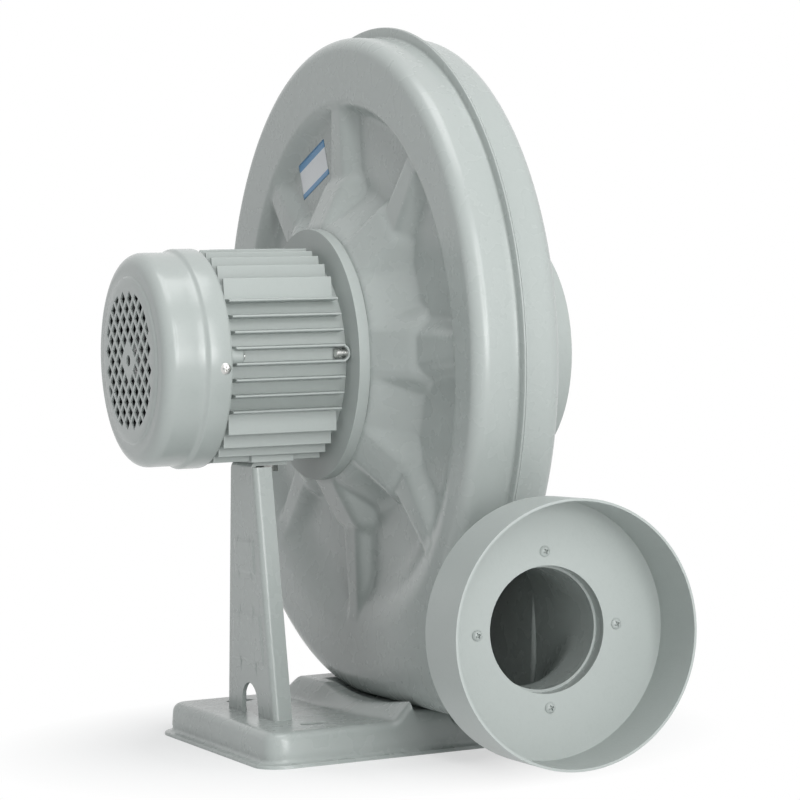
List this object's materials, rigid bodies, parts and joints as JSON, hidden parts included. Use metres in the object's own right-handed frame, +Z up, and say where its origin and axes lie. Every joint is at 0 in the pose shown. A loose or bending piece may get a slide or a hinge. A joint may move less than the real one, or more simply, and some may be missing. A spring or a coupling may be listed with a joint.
{
  "type": "centrifugal blower",
  "caption": "Centrifugal blower with a pressed scroll housing, a flange motor with fan cover, a base tray and round duct collars on inlet and outlet.",
  "frame": {"origin": "centre of the base tray's footprint, on the floor", "axes": "+Z up; +X the way the air leaves the outlet; +Y from the motor to the inlet, along the motor shaft"},
  "size_m": [0.487, 0.2709, 0.4545],
  "materials": {
    "paint": "pale grey-green satin paint, fine texture",
    "collar_paint": "pale grey-green paint with a fine orange-peel texture",
    "cast_paint": "pale grey-green paint on cast aluminium",
    "cover_paint": "smooth pale grey-green semi-gloss paint",
    "zinc": "bright zinc plating",
    "galvanised": "galvanised sheet",
    "steel": "ground steel",
    "core_steel": "laminated electrical steel",
    "enamel": "varnished copper windings",
    "black_plastic": "moulded black plastic"
  },
  "bodies": {
    "frame": {"base_tray": "paint", "motor_stand": "paint", "front_shell": "paint", "rear_shell": "paint", "outlet_throat": "paint", "outlet_collar": "collar_paint", "outlet_screws": "collar_paint", "inlet_collar": "collar_paint", "inlet_screws": "collar_paint", "inlet_nozzle": "galvanised", "motor_flange": "cast_paint", "flange_bolts": "zinc", "motor_body": "cast_paint", "stator_core": "core_steel", "windings": "enamel", "rear_shield": "cast_paint", "shield_screws": "zinc", "fan_cover": "cover_paint", "cover_screws": "zinc", "bearing_outer_rings": "steel", "terminal_box": "cover_paint", "terminal_lid": "cover_paint", "lid_screws": "zinc", "terminal_block": "black_plastic", "cable_gland": "black_plastic", "stand_bolts": "zinc"},
    "rotor": {"shaft": "steel", "shaft_key": "steel", "rotor_core": "core_steel", "bearing_inner_rings": "steel", "bearing_balls": "zinc", "impeller_hub": "steel", "back_plate": "galvanised", "blades": "galvanised", "shroud": "galvanised", "hub_rivets": "zinc", "impeller_washer": "zinc", "impeller_bolt": "zinc", "cooling_fan": "black_plastic", "fan_clip": "steel"}
  },
  "joints": [
    {"name": "rotor_spin", "type": "hinge", "parent": "frame", "child": "rotor", "pos_m": [0, 0, 0.246], "axis": [0, 1, 0], "continuous": true}
  ]
}
